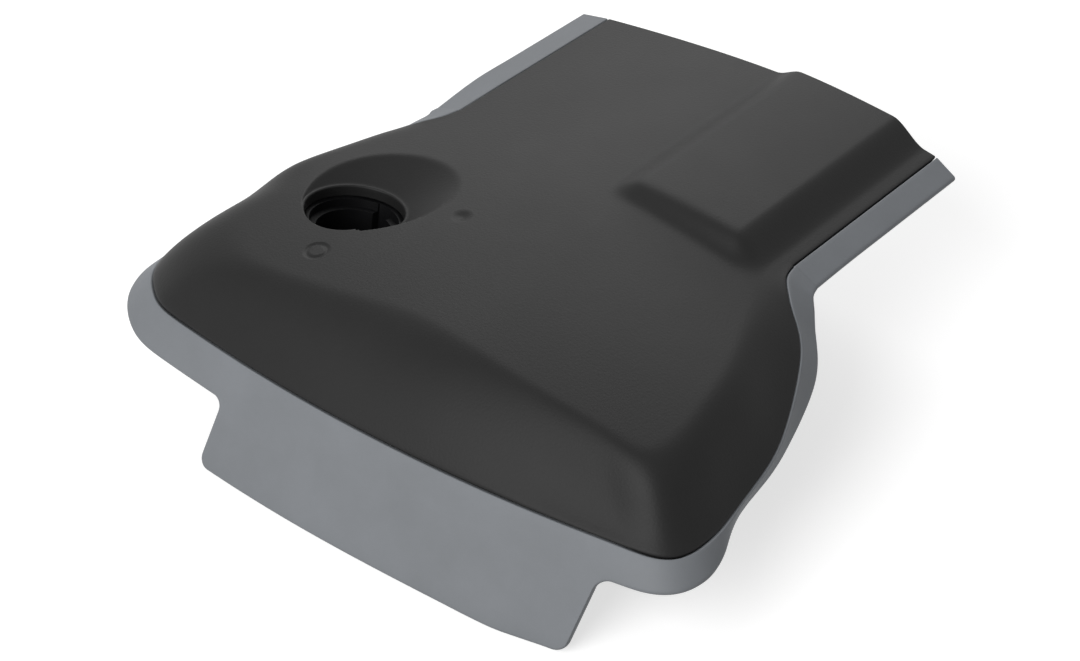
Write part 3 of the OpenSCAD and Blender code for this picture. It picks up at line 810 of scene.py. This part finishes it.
clear_points, clear_edges = [], []
for i, j in rib_edges:
    for ends in clear_of_boss(rib_lines[i, :2], rib_lines[j, :2]):
        pair = []
        for end in ends:
            p = np.append(end, rib_lines[i, 2])
            same = [k for k, q in enumerate(clear_points) if np.linalg.norm(q - p) < 1e-6]
            pair.append(same[0] if same else len(clear_points))
            if not same:
                clear_points.append(p)
        clear_edges.append(tuple(pair))
rib_mesh = bpy.data.meshes.new("rib_lines")
rib_mesh.from_pydata((np.array(clear_points) * MM).tolist(), clear_edges, [])
skin_faces = grid_faces(column_count, under_rows).tolist()
skin_probe = plain_mesh("skin_probe", under_skin.reshape(-1, 3), skin_faces, 40.0)
ribs = baked(placed("rib_lines", rib_mesh), rib_tree, {
    "Skin": skin_probe, "Thickness": 1.6 * MM, "Depth at the neck": 1.5 * MM,
    "Depth under the foot": 6.0 * MM, "Neck length": neck_length * MM, "Depth blend": 30 * MM,
    "Root": 0.9 * MM, "Least height": 0.5 * MM, "Steps": 48, "Finish": shell_finish}, "ribs")
ribs.data.shade_flat()
bpy.data.objects.remove(skin_probe)
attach(ribs, "cover")

# ---------------------------------------------------------------------------
# Edge skirt: a soft grey rubber lip moulded on to the flange all along the
# shell's lower edge, so that the cover seals against the car's roof line. A
# wide tongue hangs from it at the front.

rubber = 1.6
tongue_half, tongue_centre = 37.0, 11.5
tongue_length, tongue_corner, tongue_fillet = 12.5, 2.0, 2.5
tongue_lean, tongue_slant, tongue_drift = (0.8, 0.3), (1.8, 0.0), 1.6


def tongue_side(s):
    """How far the tongue's side is from the middle, at its root and at its corner."""
    root = tongue_half + (1, -1)[s] * tongue_centre
    return root, root - tongue_lean[s]


def tongue_depth(s, x):
    """Extra depth of the skirt's edge at x across the right (0) or the left (1) half."""
    root, low = tongue_side(s)
    full = tongue_length + tongue_slant[s] * np.clip(x / root, 0, 1) ** 3
    corner = full - tongue_corner
    past_root = np.maximum(0, tongue_fillet ** 2 - (root + tongue_fillet - x) ** 2)
    fillet = tongue_fillet - np.sqrt(past_root)
    side = mix(tongue_fillet, corner, (root - x) / tongue_lean[s])
    round_corner = corner + np.sqrt(np.maximum(0, tongue_corner ** 2 - (x - low + tongue_corner) ** 2))
    return np.select([x > root + tongue_fillet, x > root, x > low, x > low - tongue_corner],
                     [0 * x, fillet, side, round_corner], full)


def front_rows(s):
    """Where the skirt's sections lie across half of the front, and their row numbers."""
    root, low = tongue_side(s)
    x_end = foot_half[s] - corner_run
    arc = np.radians(np.linspace(0, 90, 9))
    beside_tongue = (3, 24)[s]
    x = np.concatenate([
        np.linspace(x_end, root + tongue_fillet, beside_tongue)[:-1],
        root + tongue_fillet * (1 - np.sin(arc)), low - tongue_corner * (1 - np.cos(arc)),
        np.linspace(low - tongue_corner, 0, 40)[1:],
    ])
    return x, np.clip(corner_row + (1 - x / x_end) * (front_columns - 1), 0, seam_middle)


u_parts, depth_parts = [], []
flank_rows = np.concatenate([np.arange(0, neck_columns, 0.25), np.arange(neck_columns, corner_row, 0.2)])
for s in (1, 0):
    x, rows = front_rows(s)
    u = np.concatenate([flank_rows, rows])
    depth = np.concatenate([0 * flank_rows, tongue_depth(s, x)])
    if s == 0:
        u, depth = (seam_end - u)[::-1][1:], depth[::-1][1:]
    u_parts.append(u)
    depth_parts.append(depth)
skirt_u, skirt_depth = np.concatenate(u_parts), np.concatenate(depth_parts)
skirt_edge, skirt_down, skirt_in, skirt_reach = seam_at(skirt_u)
low_end = skirt_reach + skirt_depth

# The skirt's section runs down its outer face, round its lower edge and up its
# inner face. Each point has a place along the skirt, counted from its top, as a
# share of its face or from its lower end, and a place through its thickness.
top_gap, face_gap, face_margin = 0.15, 0.5, 1.1
top_round, low_round = 0.22, 0.6
section = [(top_gap + top_round * (1 - np.sin(a)), top_round * (1 - np.cos(a)), "top")
           for a in np.radians([90, 60, 30, 0])]
section += [(share, 0.0, "face") for share in np.linspace(0.1, 0.9, 7)]
low_turn = [(-low_round * (1 - np.sin(a)), low_round * (1 - np.cos(a)))
            for a in np.radians([0, 22, 45, 67, 90])]
section += [(along, inset, "end") for along, inset in low_turn]
section += [(along, rubber - inset, "end") for along, inset in low_turn[::-1]]
section += [(share, rubber, "face") for share in np.linspace(0.9, 0.1, 7)]
section.append((top_gap, rubber, "top"))
skirt_lines = []
for along, inset, counted_from in section:
    run = {"top": along + 0 * low_end, "face": face_gap + along * (low_end - face_margin),
           "end": low_end + along}[counted_from]
    line = skirt_edge + skirt_down * run[:, None] + skirt_in * inset
    line[:, 0] -= np.maximum(0.0, run - skirt_reach) / tongue_length * tongue_drift
    skirt_lines.append(line)
skirt_points = np.stack(skirt_lines, axis=1).reshape(-1, 3)
across, sections = len(section), len(skirt_u)
skirt_faces = []
for k in range(sections - 1):
    near_side, far_side = k * across, (k + 1) * across
    for j in range(across):
        n = (j + 1) % across
        skirt_faces.append((near_side + j, far_side + j, far_side + n, near_side + n))
skirt_faces.append(list(range(across)))
skirt_faces.append([(sections - 1) * across + j for j in range(across)][::-1])
skirt = plain_mesh("skirt", skirt_points, skirt_faces, 50.0)

rubber_dark, rubber_light = (0.150, 0.160, 0.172), (0.176, 0.187, 0.202)
rubber_relief, rubber_bump = 0.06 * MM, 0.3


def rubber_look(graph):
    """Grey rubber, matt, with a fine tooth and soft stains."""
    place = graph.place()
    cloud = graph.noise(place, 70.0, 5.0, 0.6)
    tooth = graph.noise(place, 3200.0, 2.0, 0.6)
    colour = graph.ramp(cloud, [(0.3, rubber_dark), (0.7, rubber_light)])
    bump = graph.bump(tooth, rubber_relief, rubber_bump)
    return {"Base Color": colour, "Roughness": 0.6 + cloud * 0.12, "Normal": bump}


coat(skirt, finish_of("skirt_rubber", rubber_look, IOR=1.52))
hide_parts("edge_skirt")
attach(skirt, "cover")

# ---------------------------------------------------------------------------
# Lock barrel: a turned plug of black plastic that sits in the shell's boss and
# shows as the dark hole in the recess; its colour is set darker than the
# plastic's own, as painted shade deep in the hole. The key-turned core goes in
# its bore, with the core's head in the counterbore and its driver in the keyway.

barrel_radius, barrel_top, barrel_end = 9.4, -2.15, -14.75
seat_radius, seat_end = 7.8, barrel_top - 1.5
core_radius, core_end = 6.6, seat_end - 7.5
keyway_width, keyway_reach, keyway_floor, keyway_height = 3.0, core_radius + 1.4, -9.15, 12.0
tang_width, tang_end = 8.0, -16.45
screw_hole, screw_hole_top = 1.8, -11.95
overlap = 1


def lathe(profile, steps):
    """Mesh data turned about the lock's axis, from pairs of a radius and a height."""
    work = bmesh.new()
    rows = []
    for r, w in profile:
        a = np.linspace(0, 2 * np.pi, steps, endpoint=False) if r else [0.0]
        rows.append([work.verts.new((r * MM * c, r * MM * d, w * MM))
                     for c, d in zip(np.cos(a), np.sin(a))])
    for low, high in zip(rows[:-1], rows[1:]):
        for k in range(steps):
            n = (k + 1) % steps
            ring = [low[k % len(low)], low[n % len(low)], high[n % len(high)], high[k % len(high)]]
            work.faces.new(list(dict.fromkeys(ring)))
    bmesh.ops.recalc_face_normals(work, faces=work.faces)
    return work


def block(size, centre):
    """Mesh data of a box in the lock's own frame."""
    work = bmesh.new()
    bmesh.ops.create_cube(work, size=1.0)
    for v in work.verts:
        v.co = Vector([(c * s + middle) * MM for c, s, middle in zip(v.co, size, centre)])
    return work


def carve(piece, tools, operation="DIFFERENCE"):
    """Cuts tools out of a piece, or adds them to it, and keeps a plain mesh."""
    for tool in tools:
        modifier = piece.modifiers.new("cut", "BOOLEAN")
        modifier.operation, modifier.solver, modifier.object = operation, "EXACT", tool
    depsgraph = bpy.context.evaluated_depsgraph_get()
    mesh = bpy.data.meshes.new_from_object(piece.evaluated_get(depsgraph))
    piece.modifiers.clear()
    piece.data = mesh
    for tool in tools:
        bpy.data.objects.remove(tool)


def put_in_place(piece, bevel):
    """Breaks a piece's edges and puts it in its place on the cover."""
    work = bmesh.new()
    work.from_mesh(piece.data)
    bmesh.ops.remove_doubles(work, verts=work.verts, dist=1e-6)
    bmesh.ops.dissolve_limit(work, angle_limit=np.radians(1.0), verts=work.verts, edges=work.edges)
    break_edges(work, bevel, 0.6)
    for v in work.verts:
        v.co = Vector(from_lock(np.array(v.co) / MM) * MM)
    shade(work, 35.0)
    work.to_mesh(piece.data)
    work.free()


barrel = loose_piece(lathe([
    (0, barrel_end), (barrel_radius, barrel_end), (barrel_radius, barrel_top),
    (seat_radius, barrel_top), (seat_radius, seat_end), (core_radius, seat_end),
    (core_radius, core_end), (screw_hole, core_end), (0, core_end)], 96), "barrel")
tang_height = barrel_end - tang_end + overlap
tang_middle = (barrel_end + tang_end + overlap) / 2
tang = block((tang_width, tang_width, tang_height), (0, 0, tang_middle))
carve(barrel, [loose_piece(tang, "tang")], "UNION")
keyway = block((keyway_width, keyway_reach, keyway_height),
               (0, keyway_reach / 2, keyway_floor + keyway_height / 2))
screw_bore = lathe([(0, tang_end - overlap), (screw_hole, tang_end - overlap),
                    (screw_hole, screw_hole_top), (0, screw_hole_top)], 48)
carve(barrel, [loose_piece(keyway, "keyway"), loose_piece(screw_bore, "screw_bore")])
put_in_place(barrel, 0.18)

# The barrel's tones are darker than black acetal's own, as painted shade deep in the lock's hole.
barrel_dark, barrel_light = (0.0035, 0.0035, 0.0038), (0.0055, 0.0055, 0.006)
barrel_relief, barrel_bump = 0.04 * MM, 0.15


def barrel_look(graph):
    """Glossy black acetal, faintly clouded, made darker than its own black as painted shade of the hole.
    """
    place = graph.place()
    cloud = graph.noise(place, 120.0, 3.0, 0.6)
    colour = graph.ramp(cloud, [(0.3, barrel_dark), (0.7, barrel_light)])
    bump = graph.bump(graph.noise(place, 1800.0), barrel_relief, barrel_bump)
    return {"Base Color": colour, "Roughness": 0.36 + cloud * 0.1, "Normal": bump}


coat(barrel, finish_of("barrel_plastic", barrel_look, IOR=1.48, Specular_IOR_Level=0.06))
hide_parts("lock_barrel")
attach(barrel, "latch")

# ---------------------------------------------------------------------------
# Latch cam: a stamped steel arm with rounded ends and a square hole. It slips
# on the barrel's square tang and swings under the rack's foot.

cam_reach, cam_tip, cam_width, hub_radius = 21.0, 3.0, 11.0, 10.8
cam_high, cam_low = -14.85, -16.65
tang_hole, punch_height = 8.2, 6.0


def cam_outline():
    """Outline of the arm and its hub, counter-clockwise from the arm's root."""
    tip_x, tip_y = cam_reach - cam_tip, cam_width / 2 - cam_tip
    meet = np.arcsin(cam_width / 2 / hub_radius)
    outline = [(hub_radius * np.cos(a), hub_radius * np.sin(a), cam_low)
               for a in np.linspace(meet, 2 * np.pi - meet, 72)]
    for side, quarter in ((-1, (-90, 0)), (1, (0, 90))):
        outline += [(tip_x + cam_tip * np.cos(a), side * tip_y + cam_tip * np.sin(a), cam_low)
                    for a in np.radians(np.linspace(*quarter, 10))]
    return outline


cam = loose_piece(pushed_through(cam_outline(), (0, 0, cam_high - cam_low)), "cam")
punch = block((tang_hole, tang_hole, punch_height), (0, 0, (cam_low + cam_high) / 2))
carve(cam, [loose_piece(punch, "punch")])
put_in_place(cam, 0.22)

zinc_dark, zinc_light = (0.46, 0.46, 0.44), (0.60, 0.60, 0.57)
zinc_relief, zinc_bump = 0.04 * MM, 0.2


def zinc_look(graph):
    """Zinc-plated steel with a fine brushed grain and cloudy passivation."""
    place = graph.place()
    cloud = graph.noise(place, 90.0, 4.0, 0.6)
    fine = graph.noise(place, 900.0, 3.0, 0.7)
    colour = graph.ramp(cloud, [(0.3, zinc_dark), (0.7, zinc_light)])
    bump = graph.bump(fine, zinc_relief, zinc_bump)
    return {"Base Color": colour, "Roughness": 0.34 + cloud * 0.18 + fine * 0.05, "Normal": bump}


zinc_plate = finish_of("zinc_plate", zinc_look, Metallic=1.0)
coat(cam, zinc_plate)
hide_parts("latch_cam")
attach(cam, "latch")

# ---------------------------------------------------------------------------
# Cam screw: a slotted pan-head screw of zinc-plated steel. It goes up through
# the cam into the barrel's tang and holds the cam on it.

head_top, head_height, head_radius = -16.7, 2.2, 5.4
head_low = head_top - head_height
shank_radius, shank_end, shank_tip = 1.75, -12.6, -12.27
slot_size = (12.8, 1.2, 2.0)

screw = loose_piece(lathe([
    (0, head_low), (head_radius - 0.9, head_low), (head_radius - 0.35, head_low + 0.2),
    (head_radius, head_low + 0.7), (head_radius, head_top), (shank_radius, head_top),
    (shank_radius, shank_end), (shank_radius - 0.4, shank_tip), (0, shank_tip)], 64), "screw")
carve(screw, [loose_piece(block(slot_size, (0, 0, head_low)), "slot")])
put_in_place(screw, 0.1)
coat(screw, zinc_plate)
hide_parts("cam_screw")
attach(screw, "latch")

# ---------------------------------------------------------------------------
# Studio: a plain pale floor that shows white and keeps a light shadow, a large
# soft lamp behind the object at its left and another in front of it. The
# camera stands where the photograph's did. All sizes here are in metres.


def seen_plainly(graph):
    """1 on rays that show the studio straight, mirrored or through glass, and 0 on the rest."""
    rays = graph.node("ShaderNodeLightPath", out="Is Camera Ray")
    shown = graph.math("MAXIMUM", graph.output(rays, "Is Glossy Ray"),
                       graph.output(rays, "Is Transmission Ray"))
    return graph.math("MAXIMUM", shown, rays)


def paper_look(graph):
    """Matt paper that shines white, but only where it is seen."""
    return {"Emission Strength": seen_plainly(graph) * 0.68}


paper = finish_of("paper", paper_look, Base_Color=(0.55, 0.55, 0.55, 1), Roughness=0.9,
                  Specular_IOR_Level=0.0, Emission_Color=(1, 1, 1, 1))
floor_level, floor_half = -0.0297, 3
floor_mesh = bpy.data.meshes.new("floor")
floor_mesh.from_pydata([(x * floor_half, y * floor_half, floor_level)
                        for x, y in ((-1, -1), (1, -1), (1, 1), (-1, 1))], [], [(0, 1, 2, 3)])
floor = placed("floor", floor_mesh)
coat(floor, paper)


def soft_lamp(name, place, size, power):
    """A round lamp that looks at the middle of the cover."""
    lamp = bpy.data.lights.new(name, "AREA")
    lamp.shape, lamp.size, lamp.energy = "DISK", size, power
    holder = placed(name, lamp)
    holder.location = place
    aim = Vector((0, -0.06, 0))
    holder.rotation_euler = (aim - Vector(place)).to_track_quat("-Z", "Y").to_euler()


soft_lamp("lamp_behind", (-0.5, 0.58, 0.68), 0.7, 3.8)
soft_lamp("lamp_in_front", (0.0, -0.95, 0.6), 0.8, 10.2)

world = bpy.data.worlds.new("studio")
world.use_nodes = True
bpy.context.scene.world = world
background = world.node_tree.nodes["Background"].inputs
background["Color"].default_value = (1, 1, 1, 1)
strength = 0.22 + seen_plainly(Graph(world.node_tree)) * 0.78
world.node_tree.links.new(strength.socket, background["Strength"])

camera_data = bpy.data.cameras.new("camera")
camera_data.lens, camera_data.sensor_width = 80.0, 36.0
camera = placed("camera", camera_data)
camera.location = (0.2155, -0.3112, 0.2397)
camera.rotation_euler = (np.radians(51.8), 0.0, np.radians(40.9))
bpy.context.scene.camera = camera
bpy.context.scene.view_settings.view_transform = "Standard"
